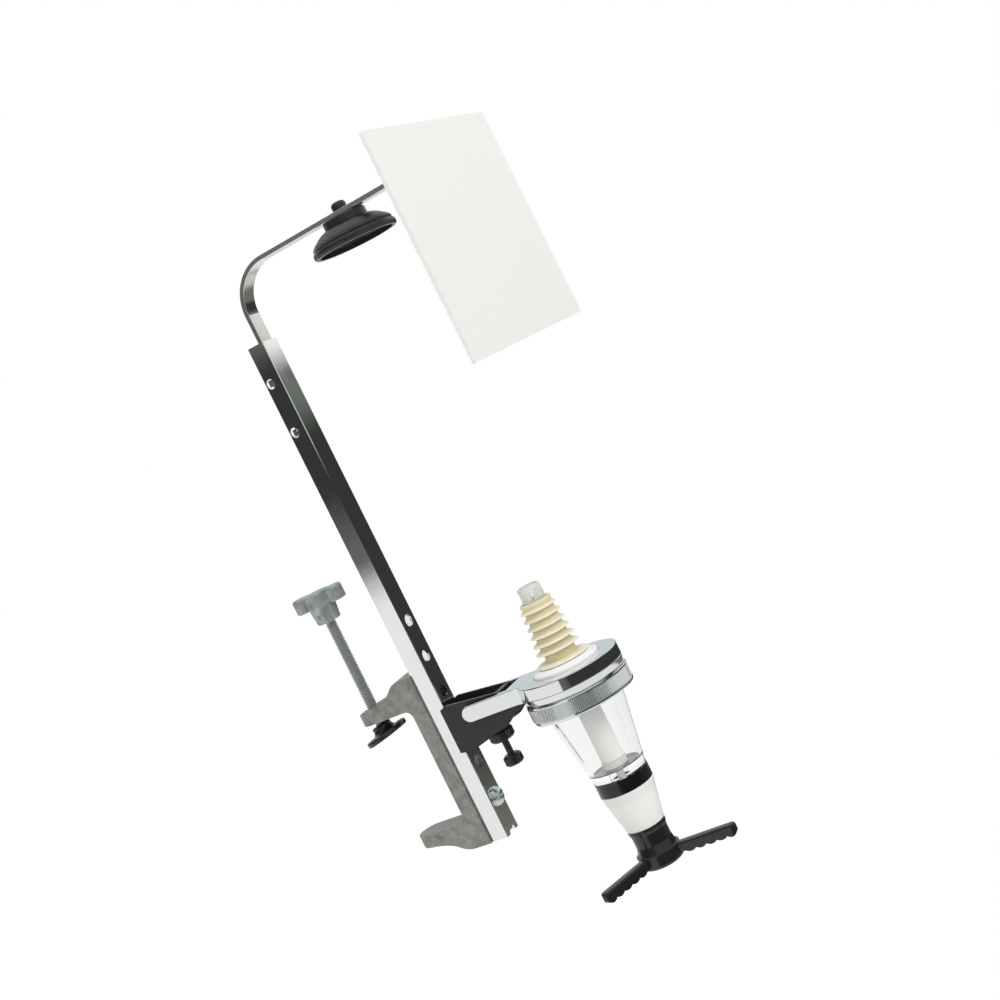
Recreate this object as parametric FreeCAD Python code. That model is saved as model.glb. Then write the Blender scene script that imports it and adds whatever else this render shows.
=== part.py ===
import FreeCAD, Part
import math
import os
from FreeCAD import Vector as V

# Clamp-on spirit measure: a channel column with a shelf clamp behind it, a sliding top arm that
# presses a bottle down, and a measure with a push-up tap that slides into a holder in front.
# Millimetres. Everything is drawn about the column's foot: x 0 is its middle, y 0 its front
# face with the front towards -Y, z 0 its bottom end. On export it moves so that the origin is
# where the clamp screw's axis meets the lower jaw.

# Column
COL_W = 13.4
COL_D = 9.9
COL_T = 1.2
COL_EDGE_R = 0.5
COL_H = 280.0
HOLE_PITCH = 20.0
HOLE_R = 3.25
HOLE_COUNT = 7
EAR_HOLE_R = 2.7
EAR_GAP = 27.5
EAR_TOP = 21.0
LEAF_T = 0.6

# Clearances
SLIDE_GAP = 0.1
SIDE_GAP = 0.2
FIT_GAP = 0.05
SOFT_GAP = 0.3

# Top arm, its spring and the sign
ARM_W = 10.0
ARM_T = 2.5
ARM_BEND_R = 24.0
ARM_FOOT_Z = 148.0
ARM_TOP_Z = 319.1
SIGN_W = 133.0
SIGN_H = 113.0
SIGN_T = 2.0
SIGN_FRONT_Y = -133.0
SIGN_TOP_Z = 335.2
PAD_T = 1.0
TAB_H = 32.0

# Bottle and measure axis
OPTIC_Y = -70.5
CUP_R = 22.4
CUP_RIM_Z = 301.2
CUP_COLLAR_R = 11.4
CUP_NECK_R = 2.75

# Shelf clamp
CLAMP_W = 16.0
CLAMP_TOP_Z = 94.3
JAW_Y = 43.8
JAW_R = CLAMP_W / 2
WEB_BACK_Y = 18.5
UPPER_JAW_Z = 78.1
LOWER_JAW_Z = 14.3
THROAT_R = 4.0
RIB_TOP_Z = 70.0
SCREW_HOLES_Z = (HOLE_PITCH, 3 * HOLE_PITCH)
FIX_R = 2.9
FIX_HEAD_R = 5.0
FIX_HEAD_H = 3.5

# Clamp screw, knob and pad
THREAD_R = 3.1
THREAD_PITCH = 1.27
THREAD_DEPTH = 0.72
BALL_R = 3.8
BALL_Z = 73.4
NECK_R = 1.6
KNOB_FOOT_Z = 135.8
KNOB_HUB_H = 8.6
KNOB_BAR_T = 8.2
KNOB_REACH = 15.6
KNOB_HUB_R = 7.6
KNOB_PIN_R = 1.25
PAD_R = 12.0
PAD_DISC_T = 2.8
PAD_TILT = 12.0

# Holder and plunger
SHEET = 1.5
HOLDER_REACH = 43.2
HOLDER_FOOT_Z = 48.3
HOLDER_TOP_Z = 73.9
TONGUE_Z = 61.2
TONGUE_H = 5.5
PLUNGER_Y = -19.4
PLUNGER_R = 1.8
PLUNGER_BODY_FOOT_Z = 46.2
PLUNGER_KNOB_R = 5.0
PLUNGER_KNOB_Z = 32.6

# Ring casting and lock ring
RING_R = 26.8
RING_TOP_Z = 70.7
RING_FOOT_Z = 60.6
RING_ROOF = 3.0
RING_LIP_H = 3.7
RING_BORE_R = 24.6
RING_MOUTH_R = 17.7
PRONG_T = 3.2
PRONG_H = 8.4
PRONG_END_Y = -10.3
LOCK_R = 27.2
LOCK_FOOT_Z = 50.4
LEDGE_T = 3.0

# Measure
CHAMBER_FLANGE_R = 23.4
CHAMBER_FLANGE_T = 3.0
CHAMBER_WALL = 2.0
CHAMBER_FOOT_R = 13.9
CHAMBER_FOOT_Z = 11.1
CHAMBER_SLOPE = 0.1627
CHAMBER_FLOOR_T = 4.5
SPIGOT_R = 12.9
SPIGOT_FOOT_Z = 0.4
GASKET_T = 1.6
CAP_NECK_R = 17.4
CAP_TOP_Z = 73.4
TUBE_R = 5.9
TUBE_BORE_R = 4.6
TUBE_TOP_Z = 113.5
BUNG_TOP_Z = 105.6
BUNG_FLANGE_R = 13.7
BAND_FOOT_Z = 4.4
BAND_R = 14.2
CONE_TOP_R = 14.35
CONE_FOOT_R = 10.05
CONE_FOOT_Z = -16.5
COLLAR_R = 10.1
COLLAR_FOOT_Z = -19.6

# Tap
TAP_STROKE = 6.0
SEAT_R = 4.4
SEAL_T = 3.0
STEM_R = 6.0
ROD_R = 2.0
HUB_R = 9.4
HUB_TOP_Z = -12.0
HUB_WAIST_Z = -30.0
HUB_FOOT_Z = -37.2
FLANGE_R = 11.5
WING_REACH = 41.8
WING_T = 5.2
WING_TOP_Z = -30.4
WING_FOOT_Z = -36.1
WING_LOBES = 5
LOBE_DEPTH = 1.0
WING_ANGLES = (-84.0, 155.0)
SPRING_R = 4.9
WIRE_R = 0.45

# Sizes that follow from the ones above
CHANNEL_X = COL_W / 2 - COL_T
ARM_FRONT_Y = COL_T + SLIDE_GAP
ARM_BACK_Y = ARM_FRONT_Y + ARM_T
BOW_TOP_Y = ARM_BACK_Y + SLIDE_GAP
EAR_Y = (BOW_TOP_Y + COL_D) / 2
EAR_ZS = (COL_H - EAR_TOP - EAR_GAP, COL_H - EAR_TOP)
SIGN_BACK_Y = SIGN_FRONT_Y + SIGN_T
KNOB_BAR_Z = KNOB_FOOT_Z + KNOB_HUB_H
KNOB_TOP_Z = KNOB_BAR_Z + KNOB_BAR_T
PLATE_X = COL_W / 2 + FIT_GAP
PRONG_X = PLATE_X + SHEET + 0.25
TONGUE_X = PLATE_X - SLIDE_GAP
BRIDGE_Z = TONGUE_Z - SLIDE_GAP
LEDGE_Z = LOCK_FOOT_Z + LEDGE_T
GASKET_Z = LEDGE_Z + CHAMBER_FLANGE_T
CAP_FOOT_Z = GASKET_Z + GASKET_T
CAVITY_TOP_Z = RING_TOP_Z - RING_ROOF
FLOOR_Z = CHAMBER_FOOT_Z + CHAMBER_FLOOR_T
LOWER_SEAL_Z = FLOOR_Z + SOFT_GAP
STEM_FOOT_Z = LOWER_SEAL_Z + SEAL_T
INLET_Z = CAP_FOOT_Z + 0.9
UPPER_SEAL_Z = INLET_Z - SOFT_GAP - TAP_STROKE - SEAL_T


def box(x0, x1, y0, y1, z0, z1):
    return Part.makeBox(x1 - x0, y1 - y0, z1 - z0, V(x0, y0, z0))


def post(radius, z0, z1, y=0.0, x=0.0):
    return Part.makeCylinder(radius, z1 - z0, V(x, y, z0))


def rod(radius, start, end):
    way = end - start
    return Part.makeCylinder(radius, way.Length, start, way)


def outline(points, place):
    """Closed face through points; a point of four numbers is an arc's middle and its end."""
    edges = []
    last = points[0]
    for point in list(points[1:]) + [points[0]]:
        end = point[-2:]
        if len(point) == 4:
            edges.append(Part.Arc(place(*last), place(*point[:2]), place(*end)).toShape())
        elif math.dist(last, end) > 1e-6:
            edges.append(Part.makeLine(place(*last), place(*end)))
        last = end
    return Part.Face(Part.Wire(edges))


def turned(points, y=OPTIC_Y):
    """Body of revolution about the upright axis at y, from (radius, z) points."""
    face = outline(points, lambda r, z: V(r, y, z))
    return face.revolve(V(0, y, 0), V(0, 0, 1), 360)


def ring(inner, outer, z0, z1, y=OPTIC_Y):
    return post(outer, z0, z1, y).cut(post(inner, z0, z1, y))


def slab(points, x0, x1):
    """Plate in the YZ plane, from (y, z) points, between two x values."""
    face = outline(points, lambda y, z: V(x0, y, z))
    return face.extrude(V(x1 - x0, 0, 0))


def flat(points, z0, z1):
    """Plate in the XY plane, from (x, y) points, between two heights."""
    face = outline(points, lambda x, y: V(x, y, z0))
    return face.extrude(V(0, 0, z1 - z0))


def joined(first, *others):
    for other in others:
        first = first.fuse(other)
    return first.removeSplitter()


def both_sides(shape):
    return [shape, shape.mirror(V(0, 0, 0), V(1, 0, 0))]


def rounded(shape, radius, wanted):
    """Round the edges whose middle satisfies wanted."""
    edges = []
    for edge in shape.Edges:
        middle = edge.valueAt((edge.FirstParameter + edge.LastParameter) / 2)
        if wanted(middle, edge):
            edges.append(edge)
    return shape.makeFillet(radius, edges)


def bevelled(shape, size, wanted):
    """Chamfer the edges whose middle satisfies wanted."""
    edges = []
    for edge in shape.Edges:
        middle = edge.valueAt((edge.FirstParameter + edge.LastParameter) / 2)
        if wanted(middle, edge):
            edges.append(edge)
    return shape.makeChamfer(size, edges)


def coil(radius, wire, z0, z1, turns, y):
    """Compression spring between two heights, its wire drawn with ten flats."""
    helix = Part.makeHelix((z1 - z0 - 2 * wire) / turns, z1 - z0 - 2 * wire, radius)
    flats = [math.radians(36 * i) for i in range(10)]
    corners = [V(radius + wire * math.cos(a), 0, wire * math.sin(a)) for a in flats]
    section = Part.makePolygon(corners + corners[:1])
    sweep = Part.BRepOffsetAPI.MakePipeShell(Part.Wire(helix.Edges))
    sweep.setFrenetMode(True)
    sweep.add(section)
    sweep.build()
    sweep.makeSolid()
    spring = sweep.shape()
    spring.translate(V(0, y, z0 + wire))
    return spring


def make_column():
    channel = box(-COL_W / 2, COL_W / 2, 0, COL_D, 0, COL_H)
    channel = rounded(channel, COL_EDGE_R, lambda m, e: abs(m.y) < 1e-6 and abs(abs(m.x) - COL_W / 2) < 1e-6)
    channel = channel.cut(box(-CHANNEL_X, CHANNEL_X, COL_T, COL_D + 1, -1, COL_H + 1))
    for i in range(HOLE_COUNT):
        z = i * HOLE_PITCH
        channel = channel.cut(rod(HOLE_R, V(0, -1, z), V(0, COL_T + 1, z)))
    for z in EAR_ZS:
        channel = channel.cut(rod(EAR_HOLE_R, V(-COL_W, EAR_Y, z), V(COL_W, EAR_Y, z)))
    return channel


def make_arm_spring():
    """Leaf bowed against the arm's back, held by ears in the column's side holes."""
    rise = EAR_Y - BOW_TOP_Y
    half = EAR_GAP / 2
    radius = (half * half + rise * rise) / (2 * rise)
    mid_z = sum(EAR_ZS) / 2
    reach = half + 2.2

    def at(z_off, r):
        drop = BOW_TOP_Y + radius - math.sqrt(r * r - z_off * z_off)
        return (drop, mid_z + z_off)

    inner = radius - LEAF_T
    points = [at(-reach, radius), at(0, radius) + at(reach, radius),
              at(reach * inner / radius, inner),
              at(0, inner) + at(-reach * inner / radius, inner)]
    leaf_x = CHANNEL_X - SIDE_GAP
    leaf = slab(points, -leaf_x, leaf_x)
    ears = []
    for z in EAR_ZS:
        ears.append(box(-COL_W / 2 + 0.1, COL_W / 2 - 0.1, EAR_Y, EAR_Y + 0.9, z - 1.6, z + 1.6))
    return joined(leaf, *ears)


def make_top_arm():
    bend_y = ARM_BACK_Y - ARM_BEND_R
    bend_z = ARM_TOP_Z - ARM_BEND_R
    under = ARM_TOP_Z - ARM_T
    inner = ARM_BEND_R - ARM_T
    diag = math.sqrt(0.5)
    tab_y = SIGN_BACK_Y + PAD_T
    tip_r = ARM_T + 1.5
    tip_y = tab_y + tip_r
    tip_z = ARM_TOP_Z - tip_r
    points = [
        (ARM_FRONT_Y, ARM_FOOT_Z),
        (ARM_FRONT_Y, bend_z),
        (bend_y + inner * diag, bend_z + inner * diag, bend_y, under),
        (tip_y, under),
        (tip_y - 1.5 * diag, tip_z + 1.5 * diag, tip_y - 1.5, tip_z),
        (tab_y + ARM_T, ARM_TOP_Z - TAB_H),
        (tab_y, ARM_TOP_Z - TAB_H),
        (tab_y, tip_z),
        (tip_y - tip_r * diag, tip_z + tip_r * diag, tip_y, ARM_TOP_Z),
        (bend_y, ARM_TOP_Z),
        (bend_y + ARM_BEND_R * diag, bend_z + ARM_BEND_R * diag, ARM_BACK_Y, bend_z),
        (ARM_BACK_Y, ARM_FOOT_Z),
    ]
    arm = slab(points, -ARM_W / 2, ARM_W / 2)
    arm = rounded(arm, 0.3, lambda m, e: abs(abs(m.x) - ARM_W / 2) < 1e-6 and e.Length > 20)
    return arm.cut(post(CUP_NECK_R + SOFT_GAP, under - 1, ARM_TOP_Z + 1, OPTIC_Y))


def make_sign_pad():
    tab_y = SIGN_BACK_Y + PAD_T
    foot = ARM_TOP_Z - TAB_H
    return box(-ARM_W / 2, ARM_W / 2, SIGN_BACK_Y, tab_y, foot, foot + TAB_H - 2 * ARM_T)


def make_sign_plate():
    plate = box(-SIGN_W / 2, SIGN_W / 2, SIGN_FRONT_Y, SIGN_BACK_Y, SIGN_TOP_Z - SIGN_H, SIGN_TOP_Z)
    return rounded(plate, 1.2, lambda m, e: abs(abs(m.x) - SIGN_W / 2) < 1e-6
                   and abs(m.y - SIGN_FRONT_Y - SIGN_T / 2) < 1e-6)


def make_bottle_cup():
    under = ARM_TOP_Z - ARM_T
    rim = CUP_RIM_Z
    nipple = ARM_TOP_Z + SOFT_GAP
    collar_foot = rim + 11.0
    points = [
        (CUP_R - 2.7, rim),
        (CUP_R - 0.7, rim),
        (CUP_R, rim + 1.8, CUP_R - 0.8, rim + 3.6),
        (CUP_R - 1.4, rim + 4.1),
        (CUP_R - 1.0, rim + 4.7),
        (CUP_R - 2.0, rim + 6.1, CUP_R - 3.6, rim + 7.3),
        (CUP_R - 6.4, rim + 9.3, CUP_R - 9.6, rim + 10.7),
        (CUP_COLLAR_R, collar_foot),
        (CUP_COLLAR_R, under - SOFT_GAP - 0.6),
        (CUP_COLLAR_R - 0.6, under - SOFT_GAP),
        (CUP_NECK_R, under - SOFT_GAP),
        (CUP_NECK_R, nipple),
        (CUP_NECK_R + 1.1, nipple),
        (CUP_NECK_R + 1.1, nipple + 2.0),
        (CUP_NECK_R + 0.5, nipple + 3.4, CUP_NECK_R - 1.0, nipple + 4.0),
        (0, nipple + 4.0),
        (0, rim + 8.5),
        (CUP_R - 9.4, rim + 8.5),
        (CUP_R - 4.4, rim + 6.0, CUP_R - 2.7, rim + 2.6),
    ]
    return turned(points)


def clamp_edge(middle, edge):
    """An edge along the clamp's side faces or round a jaw tip."""
    upright = edge.BoundBox.XLength + edge.BoundBox.YLength < 1e-4
    at_side = abs(abs(middle.x) - CLAMP_W / 2) < 1e-6
    return not upright and middle.y > COL_D + 0.1 and (at_side or middle.y > JAW_Y)


def make_clamp_frame():
    tip = JAW_Y + JAW_R
    diag = THROAT_R * (1 - math.sqrt(0.5))
    inner = WEB_BACK_Y
    points = [
        (COL_D, 0),
        (inner + 1.9, 0),
        (inner + 6.2, 0.9, inner + 9.8, 2.9),
        (inner + 18.0, 5.9, tip, LOWER_JAW_Z - 7.3),
        (tip, LOWER_JAW_Z),
        (inner + THROAT_R, LOWER_JAW_Z),
        (inner + diag, LOWER_JAW_Z + diag, inner, LOWER_JAW_Z + THROAT_R),
        (inner, UPPER_JAW_Z - THROAT_R),
        (inner + diag, UPPER_JAW_Z - diag, inner + THROAT_R, UPPER_JAW_Z),
        (tip, UPPER_JAW_Z),
        (tip, UPPER_JAW_Z + 6.3),
        (inner + 17.5, CLAMP_TOP_Z - 7.6),
        (inner + 11.5, CLAMP_TOP_Z - 6.1, inner + 7.5, CLAMP_TOP_Z - 3.4),
        (inner + 4.0, CLAMP_TOP_Z - 0.9, inner, CLAMP_TOP_Z),
        (COL_D, CLAMP_TOP_Z),
    ]
    frame = slab(points, -CLAMP_W / 2, CLAMP_W / 2)
    plan = box(-CLAMP_W / 2, CLAMP_W / 2, COL_D, JAW_Y, -1, CLAMP_TOP_Z + 1)
    frame = frame.common(plan.fuse(post(JAW_R, -1, CLAMP_TOP_Z + 1, JAW_Y)).removeSplitter())
    frame = rounded(frame, 0.9, lambda m, e: e.BoundBox.ZMin > UPPER_JAW_Z + 0.1 and clamp_edge(m, e))
    frame = rounded(frame, 0.9, lambda m, e: e.BoundBox.ZMax < LOWER_JAW_Z - 0.1 and m.y > JAW_Y - 14
                    and clamp_edge(m, e))
    rib_x = CHANNEL_X - SIDE_GAP
    frame = frame.fuse(box(-rib_x, rib_x, COL_T + SIDE_GAP, COL_D + 1, 1.0, RIB_TOP_Z))
    for z in SCREW_HOLES_Z:
        frame = frame.cut(rod(FIX_R + FIT_GAP, V(0, 0, z), V(0, COL_D + 2.5, z)))
    frame = frame.cut(post(THREAD_R + FIT_GAP, UPPER_JAW_Z - 1, CLAMP_TOP_Z, JAW_Y))
    return frame.removeSplitter()


def make_fixing_screw(z, seat_y):
    """Dome-head screw through the column's front into the clamp's rib."""
    shank = rod(FIX_R, V(0, seat_y, z), V(0, COL_D + 1.5, z))
    points = [
        (0, 0),
        (FIX_HEAD_R, 0),
        (FIX_HEAD_R, 0.7),
        (0.72 * FIX_HEAD_R, 0.8 * FIX_HEAD_H, 0, FIX_HEAD_H),
    ]
    face = outline(points, lambda r, h: V(r, seat_y - h, z))
    head = face.revolve(V(0, 0, z), V(0, 1, 0), 360)
    slot = box(-FIX_HEAD_R, FIX_HEAD_R, seat_y - FIX_HEAD_H - 1, seat_y - FIX_HEAD_H + 1.4, z - 0.6, z + 0.6)
    return joined(shank, head).cut(slot)


def make_fixing_screws():
    return Part.makeCompound([make_fixing_screw(SCREW_HOLES_Z[0], 0),
                              make_fixing_screw(SCREW_HOLES_Z[1], -SHEET)])


def make_holder():
    end = -HOLDER_REACH
    height = HOLDER_TOP_Z - HOLDER_FOOT_Z
    side = [
        (2.2, HOLDER_FOOT_Z + 0.5),
        (2.2, HOLDER_TOP_Z - 1.3),
        (-1.4, HOLDER_TOP_Z),
        (0.731 * end, HOLDER_TOP_Z - 0.105 * height),
        (0.769 * end, HOLDER_TOP_Z - 0.129 * height, 0.787 * end, HOLDER_TOP_Z - 0.184 * height),
        (0.843 * end, TONGUE_Z + 0.8),
        (end + 1.0, TONGUE_Z + 0.4),
        (end, TONGUE_Z - 0.4, end + 0.4, TONGUE_Z - 1.3),
        (0.836 * end, HOLDER_FOOT_Z + 0.367 * height),
        (0.72 * end, HOLDER_FOOT_Z + 0.238 * height),
        (0.391 * end, HOLDER_FOOT_Z + 0.094 * height),
        (0.211 * end, HOLDER_FOOT_Z + 0.5),
        (-0.7, HOLDER_FOOT_Z),
    ]
    sides = both_sides(slab(side, PLATE_X, PLATE_X + SHEET))
    back = box(-PLATE_X, PLATE_X, -SHEET, 0, HOLDER_FOOT_Z + 0.5, HOLDER_TOP_Z - 0.117 * height)
    bridge = box(-PLATE_X, PLATE_X, 0.949 * end, -SHEET - FIX_HEAD_H - 2.0, BRIDGE_Z - SHEET, BRIDGE_Z)
    tie_top = HOLDER_TOP_Z - 0.113 * height
    tie = box(-PLATE_X, PLATE_X, 0.773 * end, 0.694 * end, tie_top - SHEET, tie_top)
    holder = joined(sides[0], sides[1], back, bridge, tie)
    hole_z = SCREW_HOLES_Z[1]
    holder = holder.cut(rod(HOLE_R, V(0, -SHEET - 1, hole_z), V(0, 1, hole_z)))
    return holder.cut(post(4.0, BRIDGE_Z - SHEET - 1, BRIDGE_Z + 1, PLUNGER_Y))


def make_plunger_body():
    body_r = TONGUE_X
    foot = PLUNGER_BODY_FOOT_Z
    shoulder = BRIDGE_Z - SHEET
    groove_z = foot + 4.0
    bore = PLUNGER_R + FIT_GAP
    points = [
        (bore, foot),
        (body_r - 1.0, foot),
        (body_r, foot + 1.0),
        (body_r, foot + 4.6),
        (body_r - 0.7, foot + 5.2),
        (body_r - 0.7, shoulder),
        (4.0 - FIT_GAP, shoulder),
        (4.0 - FIT_GAP, BRIDGE_Z - 0.1),
        (bore, BRIDGE_Z - 0.1),
        (bore, groove_z + 1.9),
        (bore + 1.9, groove_z + 1.9),
        (bore + 1.9, groove_z),
        (bore, groove_z),
    ]
    return turned(points, PLUNGER_Y)


def make_plunger_ring():
    section = 0.6
    ring_r = PLUNGER_R + SOFT_GAP + section
    z = PLUNGER_BODY_FOOT_Z + 4.0 + 0.95
    return Part.makeTorus(ring_r, section, V(0, PLUNGER_Y, z))


def make_plunger_pin():
    top = BRIDGE_Z - 0.2
    pin = post(PLUNGER_R, PLUNGER_KNOB_Z + 1.5, top, PLUNGER_Y)
    return bevelled(pin, 0.5, lambda m, e: m.z > top - 1e-6)


def make_plunger_knob():
    foot = PLUNGER_KNOB_Z
    points = [
        (0, foot),
        (PLUNGER_KNOB_R - 0.8, foot),
        (PLUNGER_KNOB_R, foot + 0.8),
        (PLUNGER_KNOB_R, foot + 4.2),
        (PLUNGER_KNOB_R - 1.2, foot + 5.4),
        (PLUNGER_R + FIT_GAP, foot + 5.4),
        (PLUNGER_R + FIT_GAP, foot + 1.45),
        (0, foot + 1.45),
    ]
    return turned(points, PLUNGER_Y)


def make_clamp_screw():
    foot = BALL_Z + BALL_R - 0.55
    thread_top = KNOB_FOOT_Z - 0.6
    core = THREAD_R - THREAD_DEPTH
    shaft = post(core, foot, thread_top + 0.6, JAW_Y)
    helix = Part.makeHelix(THREAD_PITCH, thread_top - foot - 1.2, core)
    ridge = [V(core - 0.15, 0, -0.48), V(THREAD_R, 0, -0.08), V(THREAD_R, 0, 0.08), V(core - 0.15, 0, 0.48)]
    sweep = Part.BRepOffsetAPI.MakePipeShell(Part.Wire(helix.Edges))
    sweep.setFrenetMode(True)
    sweep.add(Part.makePolygon(ridge + ridge[:1]))
    sweep.build()
    sweep.makeSolid()
    thread = sweep.shape()
    thread.translate(V(0, JAW_Y, foot + 0.6))
    shank = post(THREAD_R - SLIDE_GAP, thread_top, KNOB_TOP_Z - 3.0, JAW_Y)
    neck = post(NECK_R, BALL_Z - 0.75 * BALL_R, foot, JAW_Y)
    rivet = post(NECK_R + 0.6, BALL_Z - 0.75 * BALL_R, BALL_Z - 0.53 * BALL_R, JAW_Y)
    screw = shaft.fuse([thread, shank, neck, rivet]).removeSplitter()
    return screw.cut(knob_cross(KNOB_PIN_R + 0.03))


def knob_cross(radius):
    z = (KNOB_FOOT_Z + KNOB_BAR_Z) / 2
    return rod(radius, V(-KNOB_HUB_R, JAW_Y, z), V(KNOB_HUB_R, JAW_Y, z))


def make_knob_pin():
    z = (KNOB_FOOT_Z + KNOB_BAR_Z) / 2
    half = KNOB_HUB_R - 1.2
    return rod(KNOB_PIN_R, V(-half, JAW_Y, z), V(half, JAW_Y, z))


def make_clamp_knob():
    lobe = 4.9
    waist = 3.5
    far = KNOB_REACH - lobe
    bar = post(lobe, KNOB_BAR_Z, KNOB_TOP_Z, JAW_Y + far)
    bar = bar.fuse(post(lobe, KNOB_BAR_Z, KNOB_TOP_Z, JAW_Y - far))
    bar = bar.fuse(box(-waist, waist, JAW_Y - far, JAW_Y + far, KNOB_BAR_Z, KNOB_TOP_Z))
    bar = bar.fuse(post(KNOB_HUB_R, KNOB_BAR_Z, KNOB_TOP_Z, JAW_Y)).removeSplitter()
    bar = rounded(bar, 1.4, lambda m, e: abs(m.z - KNOB_TOP_Z) < 1e-6)
    bar = rounded(bar, 1.0, lambda m, e: abs(m.z - KNOB_BAR_Z) < 1e-6)
    points = [
        (0, KNOB_FOOT_Z),
        (KNOB_HUB_R - 1.6, KNOB_FOOT_Z),
        (KNOB_HUB_R - 1.1, KNOB_FOOT_Z + 0.5),
        (KNOB_HUB_R - 0.1, KNOB_BAR_Z + 1.0),
        (KNOB_HUB_R - 0.1, KNOB_BAR_Z + 3.0),
        (0, KNOB_BAR_Z + 3.0),
    ]
    knob = joined(bar, turned(points, JAW_Y))
    bore = THREAD_R - SLIDE_GAP + 0.02
    knob = knob.cut(post(bore, KNOB_FOOT_Z - 1, KNOB_TOP_Z - 2.9, JAW_Y))
    return knob.cut(knob_cross(KNOB_PIN_R + 0.03))


def make_swivel_ball():
    ball = Part.makeSphere(BALL_R, V(0, JAW_Y, BALL_Z))
    ball = ball.cut(post(BALL_R, BALL_Z + BALL_R - 0.6, BALL_Z + BALL_R + 1, JAW_Y))
    ball = ball.cut(post(NECK_R + FIT_GAP, BALL_Z - BALL_R, BALL_Z + BALL_R, JAW_Y))
    return ball.cut(post(NECK_R + 0.6 + FIT_GAP, BALL_Z - BALL_R, BALL_Z - 0.53 * BALL_R + FIT_GAP, JAW_Y))


def make_clamp_pad():
    foot = BALL_Z - 4.9
    disc_top = foot + PAD_DISC_T
    boss_top = BALL_Z + 2.3
    points = [
        (0, foot),
        (PAD_R - 0.5, foot),
        (PAD_R, foot + 0.5),
        (PAD_R, disc_top - 0.9),
        (PAD_R - 0.26, disc_top - 0.26, PAD_R - 0.9, disc_top),
        (BALL_R + 4.2, disc_top),
        (BALL_R + 2.4, disc_top + 0.8, BALL_R + 1.6, boss_top - 0.6),
        (BALL_R + 1.1, boss_top),
        (0, boss_top),
    ]
    pad = turned(points, JAW_Y)
    pad = pad.cut(Part.makeSphere(BALL_R + SLIDE_GAP, V(0, JAW_Y, BALL_Z)))
    pad.rotate(V(0, JAW_Y, BALL_Z), V(1, 0, 0), -PAD_TILT)
    return pad


def make_ring_arm():
    crease_z = RING_FOOT_Z + RING_LIP_H
    collar_points = [
        (RING_MOUTH_R, RING_FOOT_Z),
        (RING_R - 0.6, RING_FOOT_Z),
        (RING_R - 0.15, RING_FOOT_Z + RING_LIP_H / 2, RING_R, crease_z - 0.15),
        (RING_R - 0.2, crease_z),
        (RING_R, crease_z + 0.15),
        (RING_R, RING_TOP_Z - 0.7),
        (RING_R - 0.2, RING_TOP_Z - 0.2, RING_R - 0.7, RING_TOP_Z),
        (RING_MOUTH_R, RING_TOP_Z),
    ]
    collar = turned(collar_points)
    prong_out = PRONG_X + PRONG_T
    prong_foot = RING_TOP_Z - PRONG_H
    half_h = PRONG_H / 2
    meet_y = OPTIC_Y + RING_BORE_R * 0.8
    side = [
        (meet_y, prong_foot),
        (PRONG_END_Y - half_h, prong_foot),
        (PRONG_END_Y, RING_TOP_Z - half_h, PRONG_END_Y - half_h, RING_TOP_Z),
        (meet_y, RING_TOP_Z),
    ]
    prong = slab(side, PRONG_X, prong_out)
    prong = rounded(prong, 0.5, lambda m, e: abs(m.x - prong_out) < 1e-6 and m.y > meet_y + 1)
    blend_r = 5.0
    far = RING_R + blend_r
    blend_x = prong_out + blend_r
    blend_y = math.sqrt(far * far - blend_x * blend_x)
    touch = (RING_R * blend_x / far, OPTIC_Y + RING_R * blend_y / far)
    start = (prong_out, OPTIC_Y + blend_y)
    turn = math.atan2(-blend_y, -blend_x)
    mid_turn = (math.pi + turn) / 2 if turn > 0 else (-math.pi + turn) / 2
    mid = (blend_x + blend_r * math.cos(mid_turn), OPTIC_Y + blend_y + blend_r * math.sin(mid_turn))
    gusset = flat([start, mid + touch, (PRONG_X, meet_y)], prong_foot, RING_TOP_Z - 0.35)
    web = box(-PRONG_X - 1, PRONG_X + 1, meet_y, -38.0, prong_foot, RING_TOP_Z)
    tongue = box(-TONGUE_X, TONGUE_X, meet_y, -14.5, TONGUE_Z, TONGUE_Z + TONGUE_H)
    tongue = bevelled(tongue, 1.0, lambda m, e: abs(m.y + 14.5) < 1e-6)
    arm = collar.fuse(both_sides(prong) + both_sides(gusset) + [web, tongue])
    arm = arm.cut(post(RING_BORE_R, RING_FOOT_Z - 1, CAVITY_TOP_Z, OPTIC_Y))
    arm = arm.cut(post(RING_MOUTH_R, RING_FOOT_Z - 1, RING_TOP_Z + 1, OPTIC_Y))
    arm = arm.cut(post(PLUNGER_R + SLIDE_GAP, TONGUE_Z - 1, TONGUE_Z + TONGUE_H + 1, PLUNGER_Y))
    return arm.removeSplitter()


def make_lock_ring():
    top = RING_FOOT_Z - SIDE_GAP
    spigot = RING_BORE_R - SLIDE_GAP
    inner = CHAMBER_FLANGE_R + SIDE_GAP
    ledge_r = chamber_outer(LEDGE_Z) + SIDE_GAP
    points = [
        (ledge_r, LOCK_FOOT_Z),
        (LOCK_R - 1.0, LOCK_FOOT_Z),
        (LOCK_R, LOCK_FOOT_Z + 1.2),
        (LOCK_R, top - 0.8),
        (LOCK_R - 0.6, top),
        (spigot, top),
        (spigot, top + 4.0),
        (inner, top + 4.0),
        (inner, LEDGE_Z),
        (ledge_r, LEDGE_Z),
    ]
    return turned(points)


def chamber_outer(z):
    return CHAMBER_FOOT_R + CHAMBER_SLOPE * (z - CHAMBER_FOOT_Z)


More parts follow.
